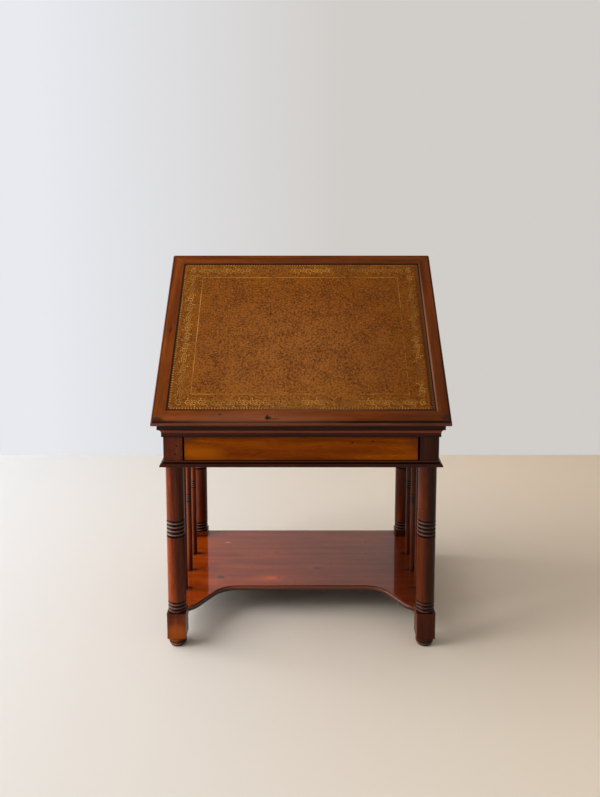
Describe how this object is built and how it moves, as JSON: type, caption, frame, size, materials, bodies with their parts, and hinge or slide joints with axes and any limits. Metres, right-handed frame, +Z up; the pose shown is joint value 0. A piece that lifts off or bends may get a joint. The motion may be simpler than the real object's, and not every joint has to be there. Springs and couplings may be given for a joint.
{
  "type": "tilting reading table",
  "caption": "Low mahogany reading table with a leather-lined top that tilts on an easel prop, a frieze drawer, turned legs, side spindles and a shelf.",
  "frame": {"origin": "on the floor, under the middle of the table's outer box with the top at its rest tilt", "axes": "+Z up, -Y towards the reader at the front, +X to the reader's right"},
  "size_m": [0.61, 0.4616, 0.8026],
  "materials": {
    "mahogany_frame": "french polish, worn",
    "mahogany_top": "french polish, worn",
    "mahogany_golden": "french polish",
    "mahogany_shelf": "glossy french polish",
    "secondary_wood": "bare, planed",
    "tooled_leather": "antiqued hide, gilt tooling",
    "brass": "aged",
    "steel": "aged"
  },
  "bodies": {
    "frame": {"leg_front_left": "mahogany_frame", "leg_front_right": "mahogany_frame", "leg_back_left": "mahogany_frame", "leg_back_right": "mahogany_frame", "side_rail_left": "mahogany_frame", "side_rail_right": "mahogany_frame", "back_rail": "mahogany_frame", "drawer_rail_upper": "mahogany_frame", "drawer_rail_lower": "mahogany_frame", "cornice_front": "mahogany_frame", "cornice_back": "mahogany_frame", "cornice_left": "mahogany_frame", "cornice_right": "mahogany_frame", "base_moulding_front": "mahogany_frame", "base_moulding_back": "mahogany_frame", "base_moulding_left": "mahogany_frame", "base_moulding_right": "mahogany_frame", "bed_board": "secondary_wood", "shelf": "mahogany_shelf", "spindle_left_front": "mahogany_frame", "spindle_left_middle": "mahogany_frame", "spindle_left_back": "mahogany_frame", "spindle_right_front": "mahogany_frame", "spindle_right_middle": "mahogany_frame", "spindle_right_back": "mahogany_frame", "drawer_runner_left": "secondary_wood", "drawer_runner_right": "secondary_wood", "drawer_guide_left": "secondary_wood", "drawer_guide_right": "secondary_wood", "drawer_kicker_left": "secondary_wood", "drawer_kicker_right": "secondary_wood", "prop_rack_left": "mahogany_frame", "prop_rack_right": "mahogany_frame", "hinge_leaf_frame_left": "brass", "hinge_leaf_frame_right": "brass", "drawer_stops": "secondary_wood", "hinge_pins": "steel", "hinge_frame_screws": "steel", "rack_screws": "steel"},
    "top": {"top_rail_front": "mahogany_top", "top_rail_back": "mahogany_top", "top_rail_left": "mahogany_top", "top_rail_right": "mahogany_top", "top_panel": "secondary_wood", "leather_inset": "tooled_leather", "hinge_leaf_top_left": "brass", "hinge_leaf_top_right": "brass", "hinge_top_screws": "steel", "prop_bracket_left": "mahogany_frame", "prop_bracket_right": "mahogany_frame", "prop_pivot_pins": "steel", "prop_bracket_screws": "steel"},
    "prop": {"prop_arm_left": "mahogany_frame", "prop_arm_right": "mahogany_frame", "prop_foot_bar": "mahogany_frame"},
    "drawer": {"drawer_front": "mahogany_golden", "drawer_side_left": "secondary_wood", "drawer_side_right": "secondary_wood", "drawer_back": "secondary_wood", "drawer_bottom": "secondary_wood"}
  },
  "joints": [
    {"name": "top_tilt", "type": "hinge", "parent": "frame", "child": "top", "pos_m": [0, -0.21949, 0.49115], "axis": [1, 0, 0], "range_deg": [-42, 14]},
    {"name": "prop_pivot", "type": "hinge", "parent": "top", "child": "prop", "pos_m": [0, -0.07458, 0.62163], "axis": [1, 0, 0], "range_deg": [-28, 84]},
    {"name": "drawer_slide", "type": "slide", "parent": "frame", "child": "drawer", "axis": [0, -1, 0], "range_m": [0, 0.27]}
  ],
  "couplings": [
    {"joint": "prop_pivot", "follows": "top_tilt", "ratio": -2}
  ]
}
